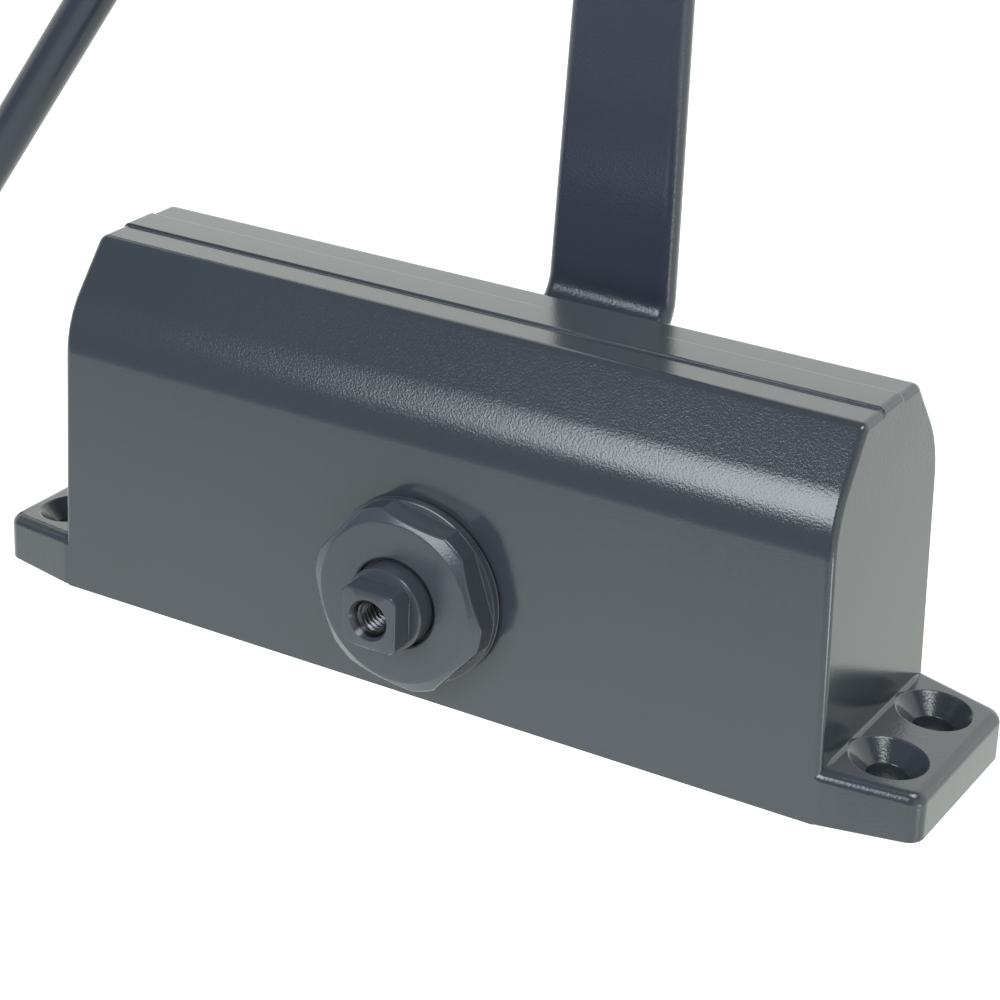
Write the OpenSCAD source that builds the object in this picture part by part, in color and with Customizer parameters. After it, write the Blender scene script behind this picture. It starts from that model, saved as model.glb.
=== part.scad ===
// Surface-mounted door closer: rack-and-pinion body with a two-piece folding arm.
// The body stands on its mounting face at z = 0. +X runs along the body, the spindle lies along Y.

/* [Housing] */
// Length of the body at its mounting face
body_l = 153.8; // [150:0.5:154]
// Width of the body, along the spindle
body_w = 42; // [41:0.5:44]
// Height of the body above its mounting face, without the raised band
body_h = 66; // [64:0.5:70]
// Overall length over both feet
foot_l = 186; // [183:0.5:190]
// Width of a foot at its free end
foot_end_w = 35; // [34:0.5:38]
// Thickness of the feet at their holes
foot_t = 9.3; // [8:0.1:9.4]
// Fall of the feet's tops from the body to their free ends
foot_fall = 1.2; // [0:0.1:1.6]
// Corner radius of the feet
foot_corner_r = 3; // [1:0.5:5]
// Height of the raised band on top
band_t = 0.6; // [0.3:0.1:1]
// Width of the raised band on top
band_w = 7; // [5:0.5:9]
// Radius that blends each side wall into its bevel
shoulder_r = 19; // [15:1:20]
// Height at which that radius starts
shoulder_z = 46.4; // [44:0.2:48]
// Slope of the bevel from the vertical, in degrees
bevel_slope = 37; // [32:1:40]
// Draft of the side walls, in degrees
side_draft = 0.5; // [0.2:0.1:1]
// Draft of the end walls, in degrees
end_draft = 1.8; // [1:0.1:2]

/* [Mounting holes] */
// Hole spacing along the body
hole_dx = 167; // [166:0.5:169]
// Hole spacing across the body
hole_dy = 19; // [18:0.5:20]
// Diameter of the mounting holes
hole_d = 6.8; // [5.5:0.1:7]
// Diameter of their countersinks
sink_d = 13; // [12:0.1:13.5]

/* [Hydraulics] */
// Diameter of the piston bore
bore_d = 33; // [32.8:0.1:33]
// Height of the piston bore's axis
bore_z = 27; // [26.9:0.05:27]
// Diameter of the end plug's thread
plug_d = 35; // [34.5:0.1:35]
// Height of the two valve screws
valve_z = 54; // [53:0.5:55]
// Distance of each valve screw from the middle plane
valve_y = 7; // [6:0.5:8]

/* [Spindle and pinion] */
// Height of the spindle's axis above the mounting face
spindle_z = 21; // [21:0.05:21.1]
// Diameter of the spindle's journals
journal_d = 15; // [14.5:0.1:15]
// Distance between the two end faces of the spindle
spindle_l = 71.8; // [71.6:0.1:72.4]
// Width across the flats of the square ends
square_w = 10.6; // [10:0.1:10.8]
// Length of the square ends
square_l = 4.5; // [4:0.1:5]
// Number of pinion teeth
teeth = 10; // [10:1:10]
// Module of the pinion and rack
gear_module = 1.75; // [1.75:0.05:1.75]

/* [Bearing nuts] */
// Diameter of the nut's round flange
nut_flange_d = 33.6; // [33:0.1:34]
// Width across the flats of the nut
nut_w = 31; // [29:0.5:31]
// Thickness of the flange
nut_flange_t = 1.4; // [1.2:0.1:1.8]
// Height of the nut from its seat
nut_h = 6.5; // [6:0.1:7]
// Turn of the front nut's flats from the horizontal, in degrees
nut_turn = 19; // [0:1:59]

/* [Arms] */
// Distance from the spindle to the elbow
arm_l = 238; // [230:0.5:250]
// Width of the main arm at the spindle
arm_w = 27; // [24:0.5:28]
// Width of the main arm at the elbow
elbow_w = 17; // [15:0.1:18]
// Thickness of the main arm
arm_t = 5; // [4.5:0.1:5]
// Lean of the main arm from the vertical, in degrees
arm_lean = 1.3; // [0:0.1:5]
// Distance from the elbow to the shoe's pivot
forearm_l = 288; // [280:1:290]
// Slope of the forearm from the vertical, in degrees
forearm_slope = 35; // [30:1:40]
// Diameter of the forearm rod
rod_d = 8.9; // [8.5:0.1:9.2]

/* [Hidden] */
$fn = 96;

// Colours
painted = [0.17, 0.19, 0.22];
steel = [0.62, 0.63, 0.65];
zinc = [0.74, 0.75, 0.77];
rubber = [0.07, 0.07, 0.07];

// Clearances
run_gap = 0.05;     // radial play of a shaft that turns or slides
over = 1;           // how far a cutter passes the face that it cuts

// Housing
boss_t = 0.6;                                  // how far the nut seats stand out of the side walls
seat_y = body_w / 2 + boss_t;                  // distance of the nut seats from the middle plane
top_corner_r = 2;
bore_right = 72;                               // blind end of the piston bore
plug_in = -64;                                 // inner end of the plug's thread
cross_bore_r = 14;                             // thread of the bearing nuts
oil_way_r = 1.5;
valve_hole_r = 4;
valve_hole_x = -48;                            // where the valve holes narrow to oil ways
way_x = -52;                                   // oil way from the bore up to a valve's tip
closing_return_x = -8;                         // always open to the middle of the piston
latching_return_x = -30;                       // open only near the end of the closing stroke
sink_h = (sink_d - hole_d) / 2;

// Pinion and rack
pitch_r = teeth * gear_module / 2;
pressure = 25;
base_r = pitch_r * cos(pressure);
tooth_up = 1.45;                               // tooth height outside the pitch circle
tooth_down = 1.8;                              // tooth depth inside it
backlash = 0.16;                               // taken off each flank
gear_half = 9;                                 // half of the face width
tooth_pitch = PI * gear_module;

// Piston
piston_r = bore_d / 2 - run_gap;
piston_left = -46;
piston_right = 24;
window_left = -36;
window_right = 12;
rack_root_z = spindle_z + pitch_r + tooth_down;
spring_guide_r = 10;
spring_guide_l = 4;

// Spring
spring_left = piston_right;
spring_right = 70.4;
spring_r = 12.6;
wire_r = 1.8;
spring_turns = 5.5;

// Spindle and arm hub
square_y = spindle_l / 2 - square_l;           // shoulder on which the arm rests
square_corner_r = 6.9;
collar_chamfer = 0.8;
tap_r = 2.5;
tap_l = 14;
hub_y = square_y;
blade_y = 41;                                  // inner face of the arm above its bend
bend_r = 5;                                    // inner radius of both bends
bend_start = 22;                             // distance of the lower bend from the spindle
bend_mid_r = bend_r + arm_t / 2;
bend_angle = acos(1 - (blade_y - hub_y) / (2 * bend_mid_r));
bend_end = bend_start + 2 * bend_mid_r * sin(bend_angle);
bend_steps = 10;

// Elbow
elbow = [arm_l * sin(arm_lean), 0, spindle_z + arm_l * cos(arm_lean)];
stud_r = 4;
shoulder_r_elbow = 6;
eye_r = 11;
rod_y = 32;                                    // plane of the forearm rod
elbow_eye_t = 14;
socket_r = 7.5;
socket_end = 50;
neck_r = 5.2;
thread_r = 4;
thread_in = 30;                                // inner end of the rod's thread at rest
thread_out = 88;                               // where the rod's thread ends
lock_nut_w = 13;
lock_nut_t = 6.5;

// Shoe
shoe_eye_r = 9;
shoe_eye_t = 8;
shoe_pin_r = 4;
pivot = elbow - forearm_l * [sin(forearm_slope), 0, cos(forearm_slope)];
shoe_y = 37;                                   // inner face of the shoe's flange
shoe_t = 4;
shoe_middle = -24;                             // middle of the base, measured from the pivot
shoe_l = 76;
shoe_base_w = 20;
shoe_cut = 16;                                 // what the slanted corners take off the base's far edge
shoe_corner_r = 4;
shoe_hole_dx = 34;
shoe_hole_d = 5.5;
shoe_hole_y = 49;

// A cylinder along Y from y0 to y1
module bar_y(r, y0, y1) {
    translate([0, y0, 0]) rotate([-90, 0, 0]) cylinder(r = r, h = y1 - y0);
}

// A cone along Y from radius r0 at y0 to r1 at y1
module cone_y(r0, r1, y0, y1) {
    translate([0, y0, 0]) rotate([-90, 0, 0]) cylinder(r1 = r0, r2 = r1, h = y1 - y0);
}

// A ring along Y
module ring_y(r_out, r_in, y0, y1) {
    difference() {
        bar_y(r_out, y0, y1);
        bar_y(r_in, y0 - over, y1 + over);
    }
}

// A cylinder along X from x0 to x1
module bar_x(r, x0, x1) {
    translate([x0, 0, 0]) rotate([0, 90, 0]) cylinder(r = r, h = x1 - x0);
}

// A ring along X
module ring_x(r_out, r_in, x0, x1) {
    difference() {
        bar_x(r_out, x0, x1);
        bar_x(r_in, x0 - over, x1 + over);
    }
}

// A hexagonal bar along X, w across its flats
module hex_x(w, x0, x1) {
    translate([x0, 0, 0]) rotate([0, 90, 0]) cylinder(r = w / sqrt(3), h = x1 - x0, $fn = 6);
}

// A hexagonal bar along Y, w across its flats
module hex_y(w, y0, y1) {
    translate([0, y0, 0]) rotate([-90, 0, 0]) cylinder(r = w / sqrt(3), h = y1 - y0, $fn = 6);
}

// The part of a circle between two angles, as seen from its centre
module sector(r, from, to) {
    middle = (from + to) / 2;
    reach = 2 * r;
    intersection() {
        circle(r = r);
        polygon([
            [0, 0],
            reach * [cos(from), sin(from)],
            reach * [cos(middle), sin(middle)],
            reach * [cos(to), sin(to)]
        ]);
    }
}

// ---- Housing ----

// Cross-section of the body: drafted walls, a large shoulder radius, a bevel and a flat top
module body_section() {
    foot = [-body_w / 2, 0];
    shoulder = foot + shoulder_z * [tan(side_draft), 1];
    shoulder_c = shoulder + shoulder_r * [cos(side_draft), -sin(side_draft)];
    bevel_start = shoulder_c + shoulder_r * [-cos(bevel_slope), sin(bevel_slope)];
    climb = (body_h - top_corner_r - bevel_start[1] + top_corner_r * sin(bevel_slope)) / cos(bevel_slope);
    corner_c = bevel_start + climb * [sin(bevel_slope), cos(bevel_slope)]
        + top_corner_r * [cos(bevel_slope), -sin(bevel_slope)];
    bevel_end = corner_c + top_corner_r * [-cos(bevel_slope), sin(bevel_slope)];
    for (side = [0, 1]) mirror([side, 0]) {
        polygon([[0, 0], foot, shoulder, bevel_start, bevel_end, [corner_c[0], body_h], [0, body_h]]);
        translate(shoulder_c) sector(shoulder_r, 180 - bevel_slope, 180 + side_draft);
        translate(corner_c) sector(top_corner_r, 90, 180 - bevel_slope);
    }
}

// Side view of the body: end walls with draft
module body_side_view() {
    lean = (body_h + band_t) * tan(end_draft);
    polygon([
        [-body_l / 2, 0],
        [body_l / 2, 0],
        [body_l / 2 - lean, body_h + band_t],
        [-body_l / 2 + lean, body_h + band_t]
    ]);
}

// Plan of the feet: they narrow towards their rounded free ends
module foot_plan() {
    run = (foot_l - body_l) / 2;
    drop = (body_w - foot_end_w) / 2;
    taper = atan(drop / run);
    normal = [sin(taper), cos(taper)];
    corner_x = foot_l / 2 - foot_corner_r;
    corner_y = ([body_l / 2, body_w / 2] * normal - foot_corner_r - corner_x * normal[0]) / normal[1];
    corner = [corner_x, corner_y];
    for (sx = [0, 1]) mirror([sx, 0]) for (sy = [0, 1]) mirror([0, sy]) {
        polygon([
            [0, 0],
            [foot_l / 2, 0],
            [foot_l / 2, corner_y],
            corner,
            corner + foot_corner_r * normal,
            [body_l / 2, body_w / 2],
            [0, body_w / 2]
        ]);
        translate(corner) circle(r = foot_corner_r);
    }
}

// Both feet in one plate, whose tops fall towards their free ends
module feet() {
    rise = 2 * foot_fall / (foot_l - body_l);
    inner = body_l / 2 - 6;
    inner_t = foot_t + foot_fall / 2 + 6 * rise;
    intersection() {
        linear_extrude(2 * foot_t) foot_plan();
        rotate([90, 0, 0]) linear_extrude(2 * body_w, center = true) polygon([
            [-foot_l / 2 - over, 0],
            [foot_l / 2 + over, 0],
            [foot_l / 2 + over, foot_t - foot_fall / 2 - over * rise],
            [inner, inner_t],
            [-inner, inner_t],
            [-foot_l / 2 - over, foot_t - foot_fall / 2 - over * rise]
        ]);
    }
}

module mounting_hole() {
    translate([0, 0, -over]) cylinder(d = hole_d, h = foot_t + 2 * over);
    translate([0, 0, foot_t - sink_h]) cylinder(d1 = hole_d, d2 = sink_d, h = sink_h);
    translate([0, 0, foot_t - 0.01]) cylinder(d = sink_d, h = over);
}

// One valve's bore, the way up to its tip, and the way back to the piston at return_x
module valve_passage(return_x) {
    translate([0, 0, valve_z]) {
        bar_x(valve_hole_r, -body_l / 2 - over, valve_hole_x);
        bar_x(oil_way_r, valve_hole_x - over, return_x);
    }
    for (x = [way_x, return_x])
        translate([x, 0, bore_z]) cylinder(r = oil_way_r, h = valve_z - bore_z);
}

module housing() color(painted) difference() {
    union() {
        intersection() {
            union() {
                translate([-body_l / 2, 0, 0]) rotate([90, 0, 90]) linear_extrude(body_l) body_section();
                translate([-body_l / 2, -band_w / 2, body_h - 1]) cube([body_l, band_w, band_t + 1]);
            }
            rotate([90, 0, 0]) linear_extrude(2 * body_w, center = true) body_side_view();
        }
        feet();
        translate([0, 0, spindle_z]) bar_y(nut_flange_d / 2, -seat_y, seat_y);
    }
    for (x = [-1, 1], y = [-1, 1]) translate([x * hole_dx / 2, y * hole_dy / 2, 0]) mounting_hole();
    // Piston bore and the plug's thread
    translate([0, 0, bore_z]) {
        bar_x(bore_d / 2, plug_in - over, bore_right);
        bar_x(plug_d / 2, -body_l / 2 - over, plug_in);
    }
    // Cross bore for the spindle and its bearing nuts, and the oil ways
    translate([0, 0, spindle_z]) bar_y(cross_bore_r, -seat_y - over, seat_y + over);
    translate([0, -valve_y, 0]) valve_passage(closing_return_x);
    translate([0, valve_y, 0]) valve_passage(latching_return_x);
}

// ---- End plug ----

plug_face = 1.5 - body_l / 2;                  // just inside the drafted end wall
spigot_in = -54;
ring_from = -60.5;
ring_to = -58;
ring_depth = 1.8;

module end_plug() color(zinc) translate([0, 0, bore_z]) difference() {
    union() {
        bar_x(plug_d / 2, plug_face, plug_in);
        bar_x(bore_d / 2 - 0.05, plug_in - over, spigot_in);
    }
    hex_x(12, plug_face - over, plug_face + 8);
    ring_x(bore_d, bore_d / 2 - ring_depth, ring_from, ring_to);
}

module plug_o_ring() color(rubber) translate([0, 0, bore_z])
    ring_x(bore_d / 2, bore_d / 2 - ring_depth, ring_from + 0.1, ring_to - 0.1);

// ---- Valve screws ----

valve_face = 2.4 - body_l / 2;
valve_ring_x = -64;

module valve_screw() translate([0, 0, valve_z]) difference() {
    union() {
        bar_x(valve_hole_r - run_gap, valve_face, -56);
        bar_x(2, -57, -52.5);
        translate([-52.5, 0, 0]) rotate([0, 90, 0]) cylinder(r1 = 2, r2 = 0.6, h = 3);
    }
    hex_x(4, valve_face - over, valve_face + 4);
    ring_x(2 * valve_hole_r, valve_hole_r - 1.2, valve_ring_x - 0.9, valve_ring_x + 0.9);
}

module valve_ring() translate([0, 0, valve_z])
    ring_x(valve_hole_r - run_gap, valve_hole_r - 1.2, valve_ring_x - 0.8, valve_ring_x + 0.8);

module closing_valve() color(zinc) translate([0, -valve_y, 0]) valve_screw();
module closing_valve_o_ring() color(rubber) translate([0, -valve_y, 0]) valve_ring();
module latching_valve() color(zinc) translate([0, valve_y, 0]) valve_screw();
module latching_valve_o_ring() color(rubber) translate([0, valve_y, 0]) valve_ring();

// ---- Pinion spindle ----

// A point of the involute that starts on the base circle, at roll angle t in degrees
function involute(t) = base_r * [cos(t) + t * PI / 180 * sin(t), sin(t) - t * PI / 180 * cos(t)];
function roll_at(r) = sqrt(r * r / (base_r * base_r) - 1) * 180 / PI;
function turned(p, a) = [p[0] * cos(a) - p[1] * sin(a), p[0] * sin(a) + p[1] * cos(a)];

// Half of the angle that a tooth takes up on the pitch circle, less the backlash
half_tooth = 90 / teeth - backlash / pitch_r * 180 / PI;
involute_lag = atan2(involute(roll_at(pitch_r))[1], involute(roll_at(pitch_r))[0]);
tip_roll = roll_at(pitch_r + tooth_up);
flank_steps = 6;

module pinion_tooth() {
    root_r = pitch_r - tooth_down - 0.5;
    lag = -half_tooth - involute_lag;
    lower = [for (i = [0:flank_steps]) turned(involute(tip_roll * i / flank_steps), lag)];
    upper = [for (i = [flank_steps:-1:0]) [lower[i][0], -lower[i][1]]];
    foot_half = half_tooth + involute_lag;
    polygon(concat(
        [root_r * [cos(foot_half), -sin(foot_half)]],
        lower,
        upper,
        [root_r * [cos(foot_half), sin(foot_half)]]
    ));
}

module pinion_outline() {
    circle(r = pitch_r - tooth_down);
    // One tooth points straight at the rack's space above the spindle
    for (i = [0:teeth - 1]) rotate(90 + i * 360 / teeth) pinion_tooth();
}

module spindle_end() {
    bar_y(journal_d / 2, gear_half, square_y - collar_chamfer);
    cone_y(journal_d / 2, square_corner_r, square_y - collar_chamfer, square_y);
    intersection() {
        bar_y(square_corner_r, square_y - over, spindle_l / 2);
        translate([-square_w / 2, 0, -square_w / 2]) cube([square_w, spindle_l / 2, square_w]);
    }
}

module tapped_end() {
    bar_y(tap_r, spindle_l / 2 - tap_l, spindle_l / 2 + over);
    cone_y(tap_r, 3.75, spindle_l / 2 - 1.25, spindle_l / 2);
    bar_y(3.75, spindle_l / 2 - 0.01, spindle_l / 2 + over);
}

module pinion_spindle() color(painted) translate([0, 0, spindle_z]) difference() {
    union() {
        rotate([90, 0, 0]) linear_extrude(2 * gear_half, center = true) pinion_outline();
        for (side = [0, 1]) mirror([0, side, 0]) spindle_end();
    }
    for (side = [0, 1]) mirror([0, side, 0]) tapped_end();
}

// ---- Bearings, nuts and seals, drawn for the rear and mirrored for the front ----

nut_in = 17;                                   // inner end of the nut's thread
nut_out = seat_y + nut_h;                      // its outer face
bearing_r = 10;
bearing_out = 24;
seal_out = 26.8;
lip_r = 8;
nut_ring_in = 14;
nut_ring_out = 15.6;
nut_ring_h = 0.9;

module bearing() ring_y(bearing_r, journal_d / 2 + run_gap, nut_in, bearing_out);
module shaft_seal() ring_y(bearing_r, journal_d / 2 + run_gap, bearing_out + 0.2, seal_out);
module nut_o_ring() ring_y(nut_ring_out, nut_ring_in, seat_y, seat_y + nut_ring_h - 0.1);

module bearing_nut(turn) difference() {
    union() {
        bar_y(cross_bore_r, nut_in, seat_y + 0.5);
        bar_y(nut_flange_d / 2, seat_y, seat_y + nut_flange_t);
        intersection() {
            rotate([0, turn, 0]) hex_y(nut_w, seat_y, nut_out);
            union() {
                bar_y(nut_flange_d / 2, seat_y, nut_out - 1.1);
                cone_y(nut_flange_d / 2, nut_flange_d / 2 - 2.1, nut_out - 1.1, nut_out);
            }
        }
    }
    bar_y(bearing_r, nut_in - over, seal_out);
    bar_y(lip_r, seal_out - over, nut_out + over);
    ring_y(nut_ring_out, nut_ring_in, seat_y - 0.01, seat_y + nut_ring_h);
}

module at_spindle(front = false) translate([0, 0, spindle_z]) mirror([0, front ? 1 : 0, 0]) children();

module front_bearing() color(steel) at_spindle(front = true) bearing();
module rear_bearing() color(steel) at_spindle() bearing();
module front_bearing_nut() color(painted) at_spindle(front = true) bearing_nut(30 - nut_turn);
module rear_bearing_nut() color(painted) at_spindle() bearing_nut(30 - nut_turn);
module front_shaft_seal() color(rubber) at_spindle(front = true) shaft_seal();
module rear_shaft_seal() color(rubber) at_spindle() shaft_seal();
module front_nut_o_ring() color(rubber) at_spindle(front = true) nut_o_ring();
module rear_nut_o_ring() color(rubber) at_spindle() nut_o_ring();

// ---- Piston ----

valve_seat_r = 3;
ball_r = 2.2;
seat_hole_r = 1.2;
seat_l = 3;
cage_l = 2;
cage_hole_r = 1.5;
seal_from = piston_left + 3;
seal_to = seal_from + 2;

// One rack tooth, pointing down, with its middle at x = 0 and its pitch line at z = 0
module rack_tooth() {
    half = tooth_pitch / 4 - backlash;
    tip = 1.4;
    polygon([
        [-half - 3 * tan(pressure), 3],
        [-half + tip * tan(pressure), -tip],
        [half - tip * tan(pressure), -tip],
        [half + 3 * tan(pressure), 3]
    ]);
}

module rack_piston() color(steel) difference() {
    union() {
        difference() {
            translate([0, 0, bore_z]) {
                bar_x(piston_r, piston_left, piston_right);
                bar_x(spring_guide_r, piston_right - over, piston_right + spring_guide_l);
            }
            translate([window_left, -body_w / 2, 0])
                cube([window_right - window_left, body_w, rack_root_z]);
        }
        // The rack: its spaces lie half a pitch from the middle, so that a tooth of the pinion fits
        intersection() {
            for (i = [-6:1])
                translate([(i + 0.5) * tooth_pitch, 0, spindle_z + pitch_r])
                    rotate([90, 0, 0]) linear_extrude(2 * gear_half, center = true) rack_tooth();
            translate([window_left - over, -gear_half, bore_z])
                cube([window_right - window_left + 2 * over, 2 * gear_half, 10]);
        }
    }
    translate([0, 0, bore_z]) {
        bar_x(valve_seat_r, piston_left - over, window_left + over);
        ring_x(bore_d, piston_r - 1.5, seal_from, seal_to);
    }
}

module piston_seal() color(rubber) translate([0, 0, bore_z])
    ring_x(piston_r, piston_r - 1.5, seal_from + 0.1, seal_to - 0.1);

module check_valve_seat() color(zinc) translate([0, 0, bore_z])
    ring_x(valve_seat_r, seat_hole_r, piston_left, piston_left + seat_l);

module check_valve_ball() color(zinc)
    translate([piston_left + seat_l + sqrt(ball_r * ball_r - seat_hole_r * seat_hole_r) + 0.02, 0, bore_z])
        sphere(r = ball_r);

module check_valve_cage() color(zinc) translate([0, 0, bore_z])
    ring_x(valve_seat_r, cage_hole_r, window_left - cage_l, window_left);

// ---- Spring ----

// A helix of round wire along X, swept as one closed surface
module main_spring() color(steel) {
    sides = 8;
    steps = 20 * spring_turns;
    lead = (spring_right - spring_left - 2 * wire_r - 0.6) / steps;
    x0 = spring_left + wire_r + 0.3;
    ring = [for (i = [0:steps], s = [0:sides - 1])
        let (a = i * 18, b = s * 360 / sides, r = spring_r + wire_r * cos(b))
        [x0 + i * lead + wire_r * sin(b), r * sin(a), bore_z + r * cos(a)]];
    skin = [for (i = [0:steps - 1], s = [0:sides - 1])
        let (n = (s + 1) % sides, p = i * sides, q = p + sides)
        [p + s, q + s, q + n, p + n]];
    caps = [[for (s = [0:sides - 1]) s], [for (s = [sides - 1:-1:0]) steps * sides + s]];
    polyhedron(points = ring, faces = concat(skin, caps), convexity = 10);
}

module spring_seat() color(zinc) translate([0, 0, bore_z])
    ring_x(bore_d / 2 - 0.1, 6, spring_right + 0.2, bore_right);

// ---- Main arm ----

// Places a shape that is drawn with its length along +Z from the spindle
module along_arm() translate([0, 0, spindle_z]) rotate([0, arm_lean, 0]) children();

// Points on a circle of radius r about c, from angle a to angle b
function arc(c, r, a, b) = [
    for (i = [0:bend_steps]) c + r * [cos(a + (b - a) * i / bend_steps), sin(a + (b - a) * i / bend_steps)]
];

// Side view of the arm, with Y across and the length upwards: an S-shaped offset between two flats
module arm_side_view() {
    lower_c = [hub_y + arm_t + bend_r, bend_start];
    upper_c = [blade_y - bend_r, bend_end];
    outside_r = bend_r + arm_t;
    polygon(concat(
        [[hub_y, -arm_w]],
        arc(lower_c, outside_r, 180, 180 - bend_angle),
        arc(upper_c, bend_r, -bend_angle, 0),
        [[blade_y, arm_l + arm_w], [blade_y + arm_t, arm_l + arm_w]],
        arc(upper_c, outside_r, 0, -bend_angle),
        arc(lower_c, bend_r, 180 - bend_angle, 180),
        [[hub_y + arm_t, -arm_w]]
    ));
}

// Front view of the arm: round hub, straight tapering sides and a round elbow end
module arm_front_view() {
    circle(d = 31);
    polygon([[-arm_w / 2, 0], [arm_w / 2, 0], [elbow_w / 2, arm_l], [-elbow_w / 2, arm_l]]);
    translate([0, arm_l]) circle(d = elbow_w + 1);
}

module main_arm() color(painted) difference() {
    along_arm() intersection() {
        rotate([90, 0, 90]) linear_extrude(2 * arm_w, center = true) arm_side_view();
        rotate([90, 0, 0]) linear_extrude(4 * blade_y, center = true) arm_front_view();
    }
    translate([-square_w / 2 - run_gap, 0, spindle_z - square_w / 2 - run_gap])
        cube([square_w + 2 * run_gap, blade_y - 1, square_w + 2 * run_gap]);
    translate(elbow) bar_y(stud_r, 0, 2 * blade_y);
}

hub_out = hub_y + arm_t;
washer_t = 1.6;

module arm_washer() color(zinc) translate([0, 0, spindle_z])
    ring_y(9, 3.2, hub_out, hub_out + washer_t);

module arm_screw() color(zinc) translate([0, 0, spindle_z]) {
    bar_y(tap_r, spindle_l / 2 - 10, hub_out + washer_t + over);
    difference() {
        hex_y(10, hub_out + washer_t, hub_out + washer_t + 4.2);
        bar_y(3.2, hub_out + washer_t + 3.8, hub_out + washer_t + 5);
    }
}

// ---- Elbow ----

eye_in = rod_y - elbow_eye_t / 2;
eye_out = rod_y + elbow_eye_t / 2;
retainer_in = eye_in - 0.1 - 1.4;

// Riveted stud: domed head outside the arm, shoulder in the socket's eye, thread inside
module elbow_stud() color(zinc) translate(elbow) {
    bar_y(stud_r, blade_y - over, blade_y + arm_t + over);
    bar_y(shoulder_r_elbow, eye_in - 0.1, blade_y);
    bar_y(3, retainer_in - 7, eye_in);
    bar_y(8, blade_y + arm_t, blade_y + arm_t + 1.2);
    cone_y(8, 5.5, blade_y + arm_t + 1.2, blade_y + arm_t + 2.6);
}

module elbow_washer() color(zinc) translate(elbow) ring_y(9.5, shoulder_r_elbow, eye_out + 0.1, blade_y);
module elbow_retaining_washer() color(zinc) translate(elbow) ring_y(9, 3, retainer_in, eye_in - 0.1);

module elbow_nut() color(zinc) translate(elbow) difference() {
    union() {
        hex_y(10, retainer_in - 5, retainer_in);
        bar_y(4.3, retainer_in - 6.5, retainer_in - 5);
    }
    bar_y(3, retainer_in - 8, retainer_in + over);
}

// ---- Forearm ----

// Places a shape that is drawn along +Z, with the elbow at its origin, along the forearm
module along_forearm()
    translate([elbow[0], rod_y, elbow[2]]) rotate([0, 180 + forearm_slope, 0]) children();

module forearm_socket() color(painted) difference() {
    along_forearm() {
        bar_y(eye_r, -elbow_eye_t / 2, elbow_eye_t / 2);
        cylinder(r = neck_r, h = 14);
        translate([0, 0, 13]) cylinder(r1 = neck_r - 0.6, r2 = socket_r, h = 5);
        translate([0, 0, 18]) cylinder(r = socket_r, h = socket_end - 18);
    }
    along_forearm() {
        bar_y(shoulder_r_elbow + run_gap, -elbow_eye_t, elbow_eye_t);
        translate([0, 0, 17]) cylinder(r = thread_r + run_gap, h = socket_end);
    }
}

module lock_nut() color(zinc) along_forearm() translate([0, 0, socket_end]) difference() {
    cylinder(r = lock_nut_w / sqrt(3), h = lock_nut_t, $fn = 6);
    translate([0, 0, -over]) cylinder(r = thread_r + run_gap, h = lock_nut_t + 2 * over);
}

module forearm_rod() color(painted) difference() {
    along_forearm() {
        translate([0, 0, thread_in]) cylinder(r = thread_r, h = thread_out - thread_in);
        translate([0, 0, thread_out]) cylinder(d = rod_d, h = forearm_l - thread_out - shoe_eye_r + 1.3);
        translate([0, 0, forearm_l]) bar_y(shoe_eye_r, -shoe_eye_t / 2, shoe_eye_t / 2);
    }
    translate([pivot[0], rod_y, pivot[2]]) bar_y(shoe_pin_r + run_gap, -shoe_eye_t, shoe_eye_t);
}

// ---- Shoe ----

flange_r = 12;
shoe_eye_out = rod_y + shoe_eye_t / 2;
shoe_eye_in = rod_y - shoe_eye_t / 2;

module shoe_bracket() color(painted) difference() {
    translate([pivot[0], shoe_y, 0]) union() {
        translate([0, shoe_t, 0]) rotate([90, 0, 0]) linear_extrude(shoe_t) {
            translate([0, pivot[2]]) circle(r = flange_r);
            polygon([
                [shoe_middle - 22, 0],
                [flange_r + 1.5, 0],
                [flange_r, pivot[2]],
                [-flange_r, pivot[2]]
            ]);
        }
        linear_extrude(shoe_t) translate([shoe_middle, 0]) shoe_plan();
    }
    translate([pivot[0], 0, pivot[2]]) bar_y(shoe_pin_r, 0, 3 * shoe_y);
    for (side = [-1, 1])
        translate([pivot[0] + shoe_middle + side * shoe_hole_dx / 2, shoe_hole_y, 0]) shoe_screw_hole();
}

module shoe_screw_hole() {
    sink = 2.3;
    translate([0, 0, -over]) cylinder(d = shoe_hole_d, h = shoe_t + 2 * over);
    translate([0, 0, shoe_t - sink]) cylinder(d1 = shoe_hole_d, d2 = shoe_hole_d + 2 * sink, h = sink);
    translate([0, 0, shoe_t - 0.01]) cylinder(d = shoe_hole_d + 2 * sink, h = over);
}

// Base of the shoe: its two far corners are cut at 45 degrees and rounded
module shoe_plan() {
    r = shoe_corner_r;
    half = shoe_l / 2;
    far = half - shoe_cut - r * tan(22.5);
    polygon([
        [-half, 0],
        [half, 0],
        [half, shoe_base_w - shoe_cut],
        [far + r * sin(45), shoe_base_w - r + r * cos(45)],
        [far, shoe_base_w],
        [-far, shoe_base_w],
        [-far - r * sin(45), shoe_base_w - r + r * cos(45)],
        [-half, shoe_base_w - shoe_cut]
    ]);
    for (side = [-1, 1]) translate([side * far, shoe_base_w - r]) circle(r = r);
}

module shoe_pin() color(zinc) translate([pivot[0], 0, pivot[2]]) {
    bar_y(shoe_pin_r, shoe_eye_in - 1, shoe_y + shoe_t + over);
    bar_y(7, shoe_eye_in - 2, shoe_eye_in - 0.1);
    cone_y(5.2, 7, shoe_eye_in - 3.2, shoe_eye_in - 2);
    cone_y(6, 4.2, shoe_y + shoe_t, shoe_y + shoe_t + 1.6);
}

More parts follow.
